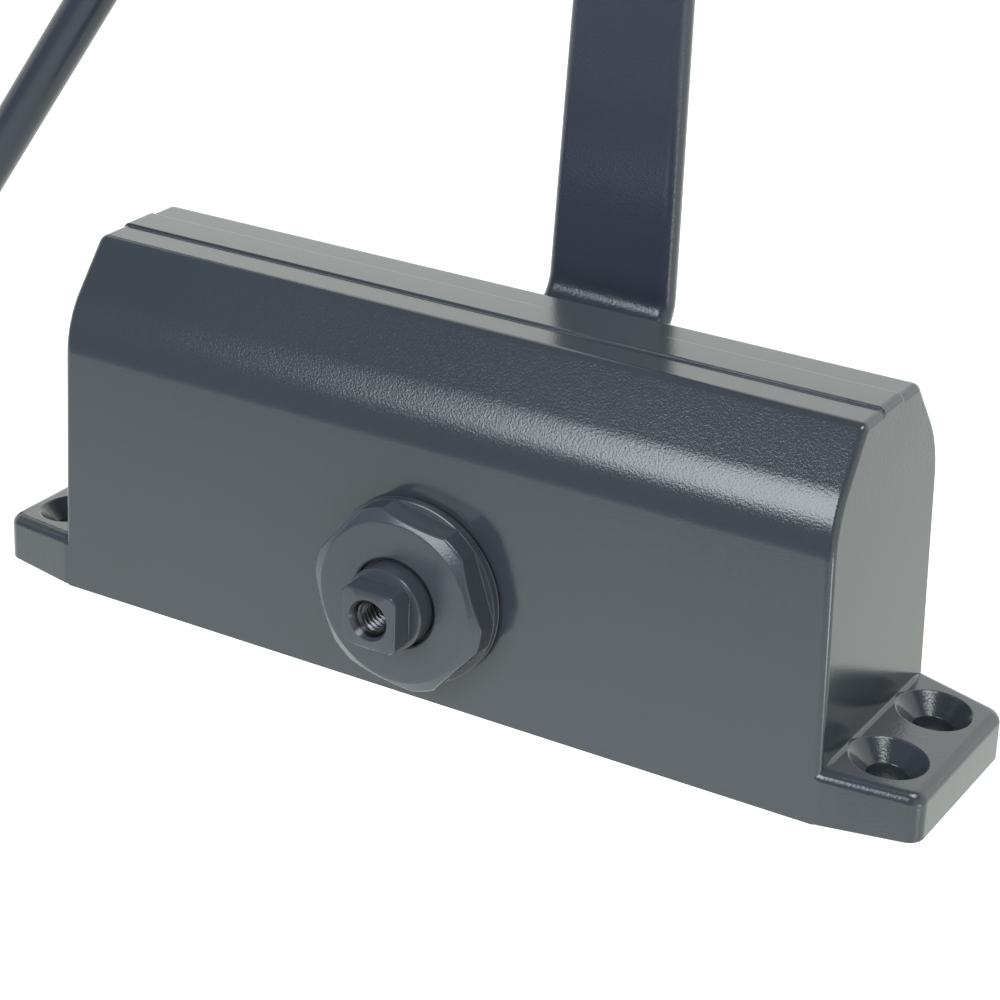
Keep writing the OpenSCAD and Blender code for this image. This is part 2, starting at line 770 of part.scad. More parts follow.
module shoe_washer() color(zinc) translate([pivot[0], 0, pivot[2]])
    ring_y(7, shoe_pin_r, shoe_eye_out + 0.1, shoe_y);

housing();
end_plug();
plug_o_ring();
closing_valve();
closing_valve_o_ring();
latching_valve();
latching_valve_o_ring();
pinion_spindle();
front_bearing();
rear_bearing();
front_bearing_nut();
rear_bearing_nut();
front_shaft_seal();
rear_shaft_seal();
front_nut_o_ring();
rear_nut_o_ring();
rack_piston();
piston_seal();
check_valve_seat();
check_valve_ball();
check_valve_cage();
main_spring();
spring_seat();
main_arm();
arm_washer();
arm_screw();
elbow_stud();
elbow_washer();
elbow_retaining_washer();
elbow_nut();
forearm_socket();
lock_nut();
forearm_rod();
shoe_bracket();
shoe_pin();
shoe_washer();
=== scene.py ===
import math

import bmesh
import bpy
from mathutils import Matrix, Vector


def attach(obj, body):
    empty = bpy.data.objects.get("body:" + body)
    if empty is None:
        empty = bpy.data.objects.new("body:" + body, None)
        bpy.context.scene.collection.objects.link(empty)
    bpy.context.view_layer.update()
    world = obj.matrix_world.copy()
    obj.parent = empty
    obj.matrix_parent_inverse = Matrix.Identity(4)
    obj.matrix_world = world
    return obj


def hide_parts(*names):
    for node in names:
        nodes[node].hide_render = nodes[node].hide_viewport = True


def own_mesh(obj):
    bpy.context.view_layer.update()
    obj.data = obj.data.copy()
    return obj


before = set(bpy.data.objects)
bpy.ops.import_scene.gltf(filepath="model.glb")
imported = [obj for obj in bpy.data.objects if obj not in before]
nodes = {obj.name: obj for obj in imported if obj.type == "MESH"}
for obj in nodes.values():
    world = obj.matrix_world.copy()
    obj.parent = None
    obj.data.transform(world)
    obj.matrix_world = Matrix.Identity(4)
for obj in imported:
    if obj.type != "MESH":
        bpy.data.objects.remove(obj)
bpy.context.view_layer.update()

# All shapes are worked out in millimetres and stored in metres
MM = 0.001
PI = math.pi
MERGE_MM, MERGE_M = 0.0005, 1e-7        # points closer than this, in mm and in m, become one


# ---------------------------------------------------------------- materials


def node(tree, kind, **values):
    """A new shader node with the given settings."""
    n = tree.nodes.new(kind)
    for key, value in values.items():
        setattr(n, key, value)
    return n


def coordinates(tree, kind):
    """The X, Y and Z of a texture coordinate."""
    coord = node(tree, "ShaderNodeTexCoord")
    parts = node(tree, "ShaderNodeSeparateXYZ")
    tree.links.new(coord.outputs[kind], parts.inputs["Vector"])
    return parts.outputs


def calculate(tree, operation, *values, clamp=False):
    """The result of a math node. Each value is a number or another node's output."""
    n = node(tree, "ShaderNodeMath", operation=operation, use_clamp=clamp)
    for socket, value in zip(n.inputs, values):
        if isinstance(value, float):
            socket.default_value = value
        else:
            tree.links.new(value, socket)
    return n.outputs["Value"]


def ramp(tree, source, low, high, before=0.0, after=1.0):
    """Goes smoothly from before to after while source goes from low to high."""
    n = node(tree, "ShaderNodeMapRange", interpolation_type="SMOOTHSTEP")
    n.inputs["From Min"].default_value = low
    n.inputs["From Max"].default_value = high
    n.inputs["To Min"].default_value = before
    n.inputs["To Max"].default_value = after
    tree.links.new(source, n.inputs["Value"])
    return n.outputs["Result"]


def noise(tree, vector, scale, roughness):
    n = node(tree, "ShaderNodeTexNoise")
    n.inputs["Scale"].default_value = scale
    n.inputs["Detail"].default_value = 3
    n.inputs["Roughness"].default_value = roughness
    tree.links.new(vector, n.inputs["Vector"])
    return n.outputs["Fac"]


COLOR_DRIFT = 0.05          # how far a colour drifts over a surface, as a share of it
ROUGHNESS_DRIFT = 0.08
DRIFT_SCALE = 45


def material(name, color, metallic, roughness, grain, grain_depth, **shader):
    """A coated or bare metal: colour and roughness drift a little, and the surface has a fine grain."""
    m = bpy.data.materials.new(name)
    m.use_nodes = True
    t = m.node_tree
    bsdf = t.nodes["Principled BSDF"]
    bsdf.inputs["Metallic"].default_value = metallic
    for key, value in shader.items():
        bsdf.inputs[key.replace("_", " ")].default_value = value
    position = node(t, "ShaderNodeTexCoord").outputs["Object"]
    drift = noise(t, position, DRIFT_SCALE, 0.5)
    mix = node(t, "ShaderNodeMix", data_type="RGBA")
    mix.inputs["A"].default_value = [c * (1 - COLOR_DRIFT) for c in color] + [1]
    mix.inputs["B"].default_value = [c * (1 + COLOR_DRIFT) for c in color] + [1]
    t.links.new(drift, mix.inputs["Factor"])
    t.links.new(mix.outputs["Result"], bsdf.inputs["Base Color"])
    rough = node(t, "ShaderNodeMapRange")
    rough.inputs["To Min"].default_value = roughness * (1 - ROUGHNESS_DRIFT)
    rough.inputs["To Max"].default_value = roughness * (1 + ROUGHNESS_DRIFT)
    t.links.new(drift, rough.inputs["Value"])
    t.links.new(rough.outputs["Result"], bsdf.inputs["Roughness"])
    bump = node(t, "ShaderNodeBump")
    bump.inputs["Distance"].default_value = grain_depth
    bump.inputs["Strength"].default_value = 1
    t.links.new(noise(t, position, grain, 0.55), bump.inputs["Height"])
    t.links.new(bump.outputs["Normal"], bsdf.inputs["Normal"])
    return m


# Each has its name, colour, metallic, roughness, and the scale and depth in metres of its grain
coat = material("powder_coat", (0.0245, 0.029, 0.036), 0.0, 0.15, 2400, 0.00004)
coat_fine = material("powder_coat_fine", (0.032, 0.036, 0.045), 0.0, 0.22, 2200, 0.00003, Specular_IOR_Level=0.4)
coat_steel = material("powder_coat_arm", (0.024, 0.029, 0.042), 0.0, 0.22, 2000, 0.00005)
coat_rod = material("rod_coat", (0.0205, 0.0245, 0.035), 0.0, 0.22, 2200, 0.00001, Specular_IOR_Level=0.25)
# Steel much darker than bare steel; on the insides of the tapped holes its darkness is partly painted shade
dark_steel = material("dark_steel_and_hole_shade", (0.085, 0.085, 0.09), 1.0, 0.32, 2500, 0.00002)
steel = material("bare_steel", (0.34, 0.34, 0.35), 1.0, 0.30, 2500, 0.00003)
zinc = material("zinc_plate", (0.40, 0.41, 0.43), 1.0, 0.28, 1800, 0.00002)
spring_steel = material("spring_steel", (0.30, 0.29, 0.28), 1.0, 0.38, 2500, 0.00003)
rubber = material("rubber", (0.02, 0.02, 0.021), 0.0, 0.62, 2500, 0.00004)

# The grain of the housing is full on its bevels and feet, and faint on its walls and top
GRAIN_FULL, GRAIN_WALLS, GRAIN_TOP = 1.0, 0.3, 0.25
t = coat.node_tree
xyz = coordinates(t, "Object")
upwards = ramp(t, xyz["Z"], 0.046, 0.052, GRAIN_WALLS, GRAIN_FULL)
outwards = ramp(t, calculate(t, "ABSOLUTE", xyz["X"]), 0.0785, 0.0805, GRAIN_WALLS, GRAIN_FULL)
flat_top = ramp(t, xyz["Z"], 0.0650, 0.0658, GRAIN_FULL, GRAIN_TOP)
strength = calculate(t, "MINIMUM", calculate(t, "MAXIMUM", upwards, outwards), flat_top)
bump = next(n for n in t.nodes if n.type == "BUMP")
t.links.new(strength, bump.inputs["Strength"])


# ---------------------------------------------------------------- shapes


def rounded(points, radii, step=9):
    """The closed 2D outline with its corners rounded, one radius per point, in steps of up to step degrees."""
    out = []
    n = len(points)
    for i, (point, r) in enumerate(zip(points, radii)):
        if r <= 0:
            out.append(tuple(point))
            continue
        corner = Vector(point)
        before = (Vector(points[i - 1]) - corner).normalized()
        after = (Vector(points[(i + 1) % n]) - corner).normalized()
        half = before.angle(after) / 2
        centre = corner + (before + after).normalized() * (r / math.sin(half))
        start = corner + before * (r / math.tan(half)) - centre
        end = corner + after * (r / math.tan(half)) - centre
        a0 = math.atan2(start.y, start.x)
        sweep = (math.atan2(end.y, end.x) - a0 + PI) % (2 * PI) - PI
        k = max(2, math.ceil(abs(math.degrees(sweep)) / step))
        for j in range(k + 1):
            a = a0 + sweep * j / k
            out.append((centre.x + r * math.cos(a), centre.y + r * math.sin(a)))
    return out


def offset(outline, d):
    """The closed outline, anticlockwise, moved inwards by d."""
    out = []
    n = len(outline)
    for i in range(n):
        a, b, c = (Vector(outline[k % n]) for k in (i - 1, i, i + 1))
        u, v = (b - a).normalized(), (c - b).normalized()
        m = Vector((-u.y - v.y, u.x + v.x)).normalized()
        out.append(tuple(b + m * d / max(0.3, m.dot(Vector((-u.y, u.x))))))
    return out


def circle(r, n):
    return [(r * math.cos(2 * PI * i / n), r * math.sin(2 * PI * i / n)) for i in range(n)]


def build(name, rings, closed=False, place=None):
    """A mesh through rings of equally many points, in mm: closed like a tyre, or capped at both ends."""
    bm = bmesh.new()
    rows = [[bm.verts.new(p) for p in ring] for ring in rings]
    count = len(rows)
    size = len(rows[0])
    for i in range(count if closed else count - 1):
        a, b = rows[i], rows[(i + 1) % count]
        for j in range(size):
            k = (j + 1) % size
            bm.faces.new((a[j], a[k], b[k], b[j]))
    if not closed:
        bm.faces.new(rows[0])
        bm.faces.new(rows[-1])
    bmesh.ops.remove_doubles(bm, verts=bm.verts, dist=MERGE_MM)
    bmesh.ops.recalc_face_normals(bm, faces=bm.faces)
    return keep(name, bm, place)


def keep(name, bm, place=None):
    """Makes an object of a bmesh in mm, moved by place."""
    mesh = bpy.data.meshes.new(name)
    bm.to_mesh(mesh)
    bm.free()
    mesh.transform(Matrix.Scale(MM, 4) @ (place or Matrix()))
    obj = bpy.data.objects.new(name, mesh)
    bpy.context.scene.collection.objects.link(obj)
    return obj


# Turns that bring a shape's own +Z axis to an axis of the frame
ALONG_Y = Matrix.Rotation(-PI / 2, 4, "X")
AGAINST_Y = Matrix.Rotation(PI / 2, 4, "X")
ALONG_X = Matrix.Rotation(PI / 2, 4, "Y")


def at(x, y, z):
    return Matrix.Translation((x, y, z))


def ring_at(r, z, n):
    return [(x, y, z) for x, y in circle(r, n)]


def lathe(name, profile, place, n=96, closed=False):
    """Turns a profile of (r, z) points about Z, in n steps."""
    return build(name, [ring_at(r, z, n) for r, z in profile], closed, place)


def plate_rings(outline, z0, z1, low, high, draft=0):
    """Rings of a plate whose lower and upper edges are rounded by the radii low and high."""
    rings = []
    for i in range(5):
        a = PI / 2 * i / 4
        rings.append((z0 + low * (1 - math.cos(a)), low * (1 - math.sin(a))))
    for i in range(7):
        a = PI / 2 * i / 6
        rings.append((z1 - high * (1 - math.sin(a)), high * (1 - math.cos(a))))
    return [[(x, y, z) for x, y in offset(outline, d + z * draft)] for z, d in rings]


def plate(name, outline, z0, z1, low, high, place=None, draft=0):
    return build(name, plate_rings(outline, z0, z1, low, high, draft), False, place)


def drop(obj):
    """Removes an object and its mesh."""
    mesh = obj.data
    bpy.data.objects.remove(obj)
    bpy.data.meshes.remove(mesh)


def combine(obj, others, operation):
    """Joins the others to obj, or cuts them out of it, and removes them."""
    for other in others:
        m = obj.modifiers.new("combine", "BOOLEAN")
        m.operation = operation
        m.solver = "EXACT"
        m.object = other
    graph = bpy.context.evaluated_depsgraph_get()
    graph.update()
    mesh = bpy.data.meshes.new_from_object(obj.evaluated_get(graph))
    mesh.name = obj.name
    obj.modifiers.clear()
    old, obj.data = obj.data, mesh
    bpy.data.meshes.remove(old)
    for other in others:
        drop(other)


def merge(obj, others):
    """Adds the others' meshes to obj as they are."""
    bm = bmesh.new()
    for o in [obj] + others:
        bm.from_mesh(o.data)
    bm.to_mesh(obj.data)
    bm.free()
    for o in others:
        drop(o)
    return obj


def in_mm(bm):
    """Turns metres into millimetres."""
    bmesh.ops.scale(bm, vec=(1 / MM, 1 / MM, 1 / MM), verts=bm.verts)


def bend(name, blank, cuts, point, place):
    """The flat blank, cut across at the distances in cuts and bent so that (s, t) comes to point(s, t)."""
    bm = bmesh.new()
    bm.from_mesh(blank.data)
    drop(blank)
    in_mm(bm)
    for s in cuts:
        geom = bm.verts[:] + bm.edges[:] + bm.faces[:]
        bmesh.ops.bisect_plane(bm, geom=geom, plane_co=(0, s, 0), plane_no=(0, 1, 0))
    for v in bm.verts:
        y, z = point(v.co.y, v.co.z)
        v.co = (v.co.x, y, z)
    return keep(name, bm, place)


def finish(obj, mat, body, replaced, angle=28, extra=()):
    """Gives obj its materials, its body and the CAD nodes it stands for, and shades it smooth.

    Edges sharper than angle, in degrees, stay sharp.
    """
    obj.data.materials.clear()
    obj.data.materials.append(mat)
    for m in extra:
        obj.data.materials.append(m)
    bm = bmesh.new()
    bm.from_mesh(obj.data)
    bmesh.ops.remove_doubles(bm, verts=bm.verts, dist=MERGE_M)
    bmesh.ops.dissolve_degenerate(bm, edges=bm.edges, dist=MERGE_M)
    for f in bm.faces:
        f.smooth = True
    for e in bm.edges:
        e.smooth = e.is_manifold and e.calc_face_angle(0) < math.radians(angle)
    bm.to_mesh(obj.data)
    bm.free()
    m = obj.modifiers.new("normals", "WEIGHTED_NORMAL")
    m.keep_sharp = True
    m.weight = 100
    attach(obj, body)
    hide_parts(*replaced)


# ---------------------------------------------------------------- housing

HALF_L, HALF_W, HEIGHT = 76.9, 21.0, 66.0
WALL_TILT = math.radians(0.5)           # how far the walls and the bevels lean from upright
BEVEL = math.radians(37)
DRAFT = math.tan(WALL_TILT)
END_DRAFT = math.tan(math.radians(1.8))
SHOULDER_Z, SHOULDER_R = 46.4, 19       # where the walls end, and the curve above them
TOP_R, END_R = 2.05, 1.3                # edges of the top and of the end walls
FOOT_T = 9.3
FOOT_RISE, FALL = 0.6, 0.075            # how far the feet's tops rise at the end walls, and their slope
SPINDLE = (0, 0, 21)
BORE_Z = 27
VALVE_Y, VALVE_Z = 7, 54
HOLE_X, HOLE_Y = 83.5, 9.5


def section():
    """Half of the body's section as (y, z, normal's y, normal's z), from the bottom to the band on top."""
    y0 = HALF_W - SHOULDER_Z * DRAFT
    cy, cz = y0 - SHOULDER_R * math.cos(WALL_TILT), SHOULDER_Z - SHOULDER_R * math.sin(WALL_TILT)
    pts = [(HALF_W, 0, 1, 0), (HALF_W - 9 * DRAFT, 9, 1, 0)]
    for i in range(17):
        a = WALL_TILT + (BEVEL - WALL_TILT) * i / 16
        pts.append((cy + SHOULDER_R * math.cos(a), cz + SHOULDER_R * math.sin(a), math.cos(a), math.sin(a)))
    ty, tz = pts[-1][0], pts[-1][1]
    climb = (HEIGHT - TOP_R - tz + TOP_R * math.sin(BEVEL)) / math.cos(BEVEL)
    ky = ty - climb * math.sin(BEVEL) - TOP_R * math.cos(BEVEL)
    kz = tz + climb * math.cos(BEVEL) - TOP_R * math.sin(BEVEL)
    for i in range(8):
        a = BEVEL + (PI / 2 - BEVEL) * i / 7
        pts.append((ky + TOP_R * math.cos(a), kz + TOP_R * math.sin(a), math.cos(a), math.sin(a)))
    # The raised band, with a soft foot and edge
    for y, z in ((4.2, 0), (3.9, 0.02), (3.72, 0.09), (3.62, 0.2), (3.56, 0.34), (3.46, 0.44), (3.25, 0.48)):
        pts.append((y, HEIGHT + z, 0, 1))
    return pts


def body_ring(half, x_of_z, inset):
    """The whole section, moved inwards by inset, with each point's x from its z."""
    right = [(y - ny * inset, z - nz * inset) for y, z, ny, nz in half]
    full = right + [(-y, z) for y, z in reversed(right)]
    return [(x_of_z(z), y, z) for y, z in full]


# The stations along the body are (x, inset), and round the edges of its end walls
half = section()
rounding = []
for i in range(8):
    a = PI / 2 * (1 - i / 7)
    rounding.append((HALF_L - END_R + END_R * math.sin(a), END_R * (1 - math.cos(a))))
stations = [(-x, d) for x, d in rounding] + [(x, d) for x, d in reversed(rounding)]
body = build("body_casting", [
    body_ring(half, lambda z, x=x: math.copysign(abs(x) - z * END_DRAFT, x), d) for x, d in stations
])


def foot_outline(side):
    points = [(66, -20.7), (74.6, -20.97), (76.8, -21), (93, -17.5),
              (93, 17.5), (76.8, 21), (74.6, 20.97), (66, 20.7)]
    line = rounded(points, [0, 0, 3, 3, 3, 3, 0, 0], step=10)
    return [(side * x, side * y) for x, y in line]


def tilt(x):
    """How far the top of a foot is above its middle height."""
    return FOOT_RISE - FALL * (abs(x) - HALF_L)


feet = [plate("foot", foot_outline(side), 0, FOOT_T, 0.4, 1.9, draft=DRAFT) for side in (-1, 1)]
for foot in feet:
    for v in foot.data.vertices:
        v.co.z += tilt(v.co.x / MM) * MM * min(1, max(0, v.co.z / MM - 3) / 4)


FILLET_W = 19               # half of its width
FILLET_SUNK = 0.03          # so that it crosses both faces cleanly


def root_fillet(side):
    """The small fillet where an end wall meets its foot; it dies out before the wall's corners."""
    rings = []
    for i in range(25):
        y = FILLET_W * math.sin(math.radians(-90 + 7.5 * i))
        r = 0.12 + 0.9 * min(1, (FILLET_W - abs(y)) / 2.2) ** 0.6
        shape = [(-1.2, -1.0), (-1.2, r), (0, r)]
        for j in range(1, 6):
            t = PI / 2 * j / 5
            shape.append((r - r * math.cos(t), r - r * math.sin(t)))
        shape.append((r, -1.0))
        ring = []
        for d, h in shape:
            x = HALF_L + d - FILLET_SUNK
            z = FOOT_T + tilt(x) + h - FILLET_SUNK
            ring.append((side * (x - z * END_DRAFT), side * y, z))
        rings.append(ring)
    return build("fillet", rings)


fillets = [root_fillet(side) for side in (-1, 1)]
boss = [lathe("boss", [(16.2, 12), (16.2, 20.6), (16.8, 21.4), (16.6, 21.6)],
              at(*SPINDLE) @ Matrix.Rotation(turn, 4, "Z") @ ALONG_Y) for turn in (0, PI)]
combine(body, feet + fillets + boss, "UNION")

cutters = []
for x in (-HOLE_X, HOLE_X):
    lie = Matrix.Identity(4)
    lie[2][0] = -math.copysign(FALL, x)     # the holes' rims follow the slope of the foot
    for y in (-HOLE_Y, HOLE_Y):
        cutters.append(lathe("screw_hole", [
            (0, -2), (3.75, -2), (3.4, 0.3), (3.4, 5.95), (3.5, 6.2), (6.25, 8.95), (6.38, 9.12), (6.55, 9.24),
            (6.8, 9.32), (6.8, 12), (0, 12)
        ], at(x, y, tilt(x)) @ lie, 72))
cutters.append(lathe("bore", [
    (0, -80), (18.4, -80), (17.5, -74.5), (17.5, -64), (16.5, -63.5), (16.5, 72), (0, 72)
], at(0, 0, BORE_Z) @ ALONG_X, 128))
cutters.append(lathe("cross_bore", [
    (0, -23), (14.6, -23), (14.6, -21.5), (14, -21), (14, 21), (14.6, 21.5), (14.6, 23), (0, 23)
], at(*SPINDLE) @ ALONG_Y, 96))
for y in (-VALVE_Y, VALVE_Y):
    cutters.append(lathe("valve_bore", [
        (0, -80), (4.9, -80), (4.5, -75), (4, -74.4), (4, -48), (0, -48)
    ], at(0, y, VALVE_Z) @ ALONG_X, 48))
combine(body, cutters, "DIFFERENCE")
finish(body, coat, "housing_body", ["housing"])


# ---------------------------------------------------------------- bearing nuts


def hex_radius(w, r_max, turn):
    """The radius, at an angle, of a hexagon w across its flats whose corners are turned off at r_max."""
    def radius(a):
        a = (a - turn + PI / 6) % (PI / 3) - PI / 6
        return min(r_max, w / 2 / math.cos(a))
    return radius


def turned_hex(name, profile, place, w, r_max, turn, n_flat=14, n_corner=5):
    """A hexagonal piece, closed like a tyre. Each profile point is (r, z, kind).

    Kind "wall" lies r inside the hexagon, "least" is round but never inside it, and "cone" is like wall
    with z = (height, radius, fall per mm beyond that radius). Any other kind is round.
    """
    half_flat = math.acos(w / 2 / r_max)
    angles = []
    for k in range(6):
        mid = turn + k * PI / 3
        angles += [mid - half_flat + 2 * half_flat * i / n_flat for i in range(n_flat)]
        gap = PI / 3 - 2 * half_flat
        angles += [mid + half_flat + gap * i / n_corner for i in range(n_corner)]
    out = hex_radius(w, r_max, turn)
    rings = []
    for r, z, kind in profile:
        ring = []
        for a in angles:
            q, h = r, z
            if kind == "wall":
                q = out(a) - r
            elif kind == "least":
                q = max(r, out(a))
            elif kind == "cone":
                q = out(a) - r
                h = z[0] - (q - z[1]) * z[2] if q > z[1] else z[0]
            ring.append((q * math.cos(a), q * math.sin(a), h))
        rings.append(ring)
    return build(name, rings, True, place)


# Seen from outside, along the spindle: z is the distance from the middle plane
NUT_W, NUT_R, NUT_TURN = 31, 16.75, math.radians(19)
CONE = (28.1, 14.7, 0.55)
CONE_TILT, EDGE_R, EDGE_STEPS = math.atan(CONE[2]), 0.75, 6


def nut_edge(i):
    """Profile point i of the rounding between the cone of a nut and its hexagon."""
    a = CONE_TILT + (PI / 2 - CONE_TILT) * i / EDGE_STEPS
    run = EDGE_R * (math.sin(a) - math.sin(CONE_TILT))
    fall = EDGE_R * (math.cos(CONE_TILT) - math.cos(a))
    return EDGE_R * (1 - math.sin(a)), (CONE[0] - fall + CONE[2] * run, CONE[1], CONE[2]), "cone"


nut_profile = [
    (10, 17, ""), (10, 26.8, ""), (8, 26.8, ""), (8, 27.7, ""), (8.12, 27.95, ""), (8.4, 28.1, ""),
    (14.0, 28.1, ""), (14.5, 28.1, ""), (14.72, 28.07, ""),
] + [nut_edge(i) for i in range(EDGE_STEPS + 1)] + [
    (0, 23.35, "wall"), (-0.04, 23.15, "wall"), (-0.14, 23.02, "wall"),
    (16.6, 23.0, "least"), (16.78, 22.9, ""), (16.8, 22.7, ""), (16.8, 21.85, ""), (16.7, 21.66, ""),
    (16.5, 21.6, ""), (15.6, 21.6, ""), (15.6, 22.5, ""), (14, 22.5, ""), (14, 17.6, ""), (13.4, 17, "")
]
front = at(*SPINDLE) @ AGAINST_Y
rear = at(*SPINDLE) @ ALONG_Y
nut = turned_hex("front_nut", nut_profile, front, NUT_W, NUT_R, NUT_TURN)
finish(nut, coat_fine, "housing_body", ["front_bearing_nut"], angle=20)
nut = turned_hex("rear_nut", nut_profile, rear, NUT_W, NUT_R, -NUT_TURN)
finish(nut, coat_fine, "housing_body", ["rear_bearing_nut"], angle=20)


# ---------------------------------------------------------------- threads


THREAD_STEPS = 8            # rings per turn


def thread_rings(r_low, r_high, pitch, z0, z1, n):
    """Rings of a helical thread between two radii, with narrow flats. It fades out at both ends."""
    rings = []
    steps = round((z1 - z0) / pitch * THREAD_STEPS)
    for i in range(steps + 1):
        z = z0 + (z1 - z0) * i / steps
        ring = []
        for j in range(n):
            a = 2 * PI * j / n
            phase = (z / pitch - a / (2 * PI)) % 1
            wave = min(1, max(0, (abs(phase - 0.5) * 2 - 0.12) / 0.76))
            fade = min(1, (z - z0) / pitch, (z1 - z) / pitch)
            r = r_low + (r_high - r_low) * wave * fade
            ring.append((r * math.cos(a), r * math.sin(a), z))
        rings.append(ring)
    return rings


# ---------------------------------------------------------------- spindle


SQUARE_W, SQUARE_R = 10.6, 6.85         # across the flats, and over the turned corners
JOURNAL_R, TAP_R = 7.5, 2.5
CROWN_R = 3.0                           # the thread's outer radius
SPINDLE_STEPS = 144


def square_radius(a):
    return min(SQUARE_R, SQUARE_W / 2 / max(abs(math.cos(a)), abs(math.sin(a))))


def square_ring(z, inset):
    """A ring of the square, moved inwards by inset."""
    ring = []
    for j in range(SPINDLE_STEPS):
        a = 2 * PI * j / SPINDLE_STEPS
        q = square_radius(a) - inset
        ring.append((q * math.cos(a), q * math.sin(a), z))
    return ring


def spindle_end(name, place):
    """One end of the spindle from z = 15.5: journal, shoulder, square with cut corners and tapped hole."""
    rings = [ring_at(r, z, SPINDLE_STEPS) for r, z in (
        (JOURNAL_R, 15.5), (JOURNAL_R, 30.95), (7.45, 31.2), (7.34, 31.34), (7.15, 31.4), (6.95, 31.4))]
    rings += [square_ring(z, inset) for z, inset in (
        (31.42, -0.08), (31.55, 0.0), (35.5, 0.0), (35.72, 0.07), (35.85, 0.2), (35.9, 0.4))]
    rings += [ring_at(r, z, SPINDLE_STEPS) for r, z in (
        (3.75, 35.9), (3.35, 35.2), (3.04, 34.62), (CROWN_R, 34.5))]
    # The thread runs out into the countersink of the hole
    hole = []
    for loop in thread_rings(TAP_R, CROWN_R, 1.0, 23.4, 35.5, SPINDLE_STEPS):
        z = loop[0][2]
        if z < 34.45:
            least = CROWN_R - (34.5 - z) * 0.8
            ring = []
            for x, y, _ in loop:
                grow = max(1, least / math.hypot(x, y))
                ring.append((x * grow, y * grow, z))
            hole.append(ring)
    rings += list(reversed(hole))
    rings += [ring_at(2.52, 22.0, SPINDLE_STEPS), ring_at(0.0005, 20.6, SPINDLE_STEPS)]
    return build(name, rings, False, place)


def cut_flat(bm, point, normal):
    """Cuts away what lies beyond a plane and closes the cut."""
    geom = bm.verts[:] + bm.edges[:] + bm.faces[:]
    cut = bmesh.ops.bisect_plane(bm, geom=geom, plane_co=point, plane_no=normal, clear_outer=True)
    edges = [e for e in cut["geom_cut"] if isinstance(e, bmesh.types.BMEdge)]
    bmesh.ops.holes_fill(bm, edges=edges)


bm = bmesh.new()
bm.from_mesh(nodes["pinion_spindle"].data)
bmesh.ops.remove_doubles(bm, verts=bm.verts, dist=MERGE_M)
cut_flat(bm, (0, 0.0155, 0), (0, 1, 0))
cut_flat(bm, (0, -0.0155, 0), (0, -1, 0))
in_mm(bm)
spindle = merge(keep("spindle", bm), [spindle_end("spindle_end", place) for place in (front, rear)])
finish(spindle, coat_fine, "spindle", ["pinion_spindle"], extra=[dark_steel])
# The pinion, between the journals, and the insides of the tapped holes are bare steel, made dark: in the holes
# this dark tone is partly painted shade
PINION_Y, HOLE_FROM, HOLE_R = 17.2, 19.5, 3.3
for poly in spindle.data.polygons:
    x, y, z = poly.center / MM
    if abs(y) < PINION_Y or (math.hypot(x, z - SPINDLE[2]) < HOLE_R and abs(y) > HOLE_FROM):
        poly.material_index = 1


# ---------------------------------------------------------------- main arm

ARM_L, LEAN = 238.0, math.radians(1.3)
HUB_Y, BLADE_Y, ARM_T = 31.4, 41.0, 5.0
BEND_R, BEND_FROM = 5.0, 22.0
MID_R = BEND_R + ARM_T / 2
BEND = math.acos(1 - (BLADE_Y - HUB_Y) / (2 * MID_R))
BEND_TO = BEND_FROM + 2 * MID_R * math.sin(BEND)
BEND_LEN = 2 * MID_R * BEND
ELBOW = (ARM_L * math.sin(LEAN), 0, SPINDLE[2] + ARM_L * math.cos(LEAN))
ARM_FROM, ARM_W, ARM_TIP_W = 9.5, 13.5, 8.5     # where its sides start, and half widths at both pivots
HUB_R, TIP_R = 15.5, 8.95


def arm_point(s, t):
    """(y, distance from the spindle) of a point s along the arm and t behind its front face."""
    if s <= BEND_FROM:
        return HUB_Y + t, s
    if s <= BEND_FROM + BEND_LEN / 2:
        a = (s - BEND_FROM) / MID_R
        r = BEND_R + ARM_T - t
        return HUB_Y + ARM_T + BEND_R - r * math.cos(a), BEND_FROM + r * math.sin(a)
    if s <= BEND_FROM + BEND_LEN:
        a = (BEND_FROM + BEND_LEN - s) / MID_R
        r = BEND_R + t
        return BLADE_Y - BEND_R + r * math.cos(a), BEND_TO - r * math.sin(a)
    return BLADE_Y + t, s - BEND_FROM - BEND_LEN + BEND_TO


def arc(r, cy, degrees):
    """Points round (0, cy) as (x, y), for angles counted from the +X axis."""
    return [(r * math.cos(math.radians(a)), cy + r * math.sin(math.radians(a))) for a in degrees]


arm_end = ARM_L + BEND_LEN - (BEND_TO - BEND_FROM)
side = []
for i in range(30):
    s = ARM_FROM + (arm_end - ARM_FROM) * i / 29
    side.append((ARM_W - (ARM_W - ARM_TIP_W) * arm_point(s, 2.5)[1] / ARM_L, s))
hub = [(HUB_R * math.sin(math.radians(a)), -HUB_R * math.cos(math.radians(a))) for a in range(6, 120, 6)]
right = hub + [(13.6, 8.0)] + side + arc(TIP_R, arm_end, range(18, 90, 6))
outline = right + [(-x, y) for x, y in reversed(right)]
arm = bend("main_arm_visual", plate("arm_blank", outline, 0, ARM_T, 2.2, 2.4),
           [BEND_FROM + BEND_LEN * i / 32 for i in range(33)], arm_point,
           at(*SPINDLE) @ Matrix.Rotation(LEAN, 4, "Y"))
square = [(-5.35, -5.35), (5.35, -5.35), (5.35, 5.35), (-5.35, 5.35)]
square_hole = plate("square_hole", rounded(square, [0.3] * 4), 25, 38.5, 0, 0, rear)
PIN_HOLE = [(0, 30), (4, 30), (4, 50), (0, 50)]
elbow = at(*ELBOW) @ ALONG_Y
combine(arm, [square_hole, lathe("pin_hole", PIN_HOLE, elbow, 48)], "DIFFERENCE")
finish(arm, coat_steel, "spindle", ["main_arm"])


# ---------------------------------------------------------------- screws, washers and nuts


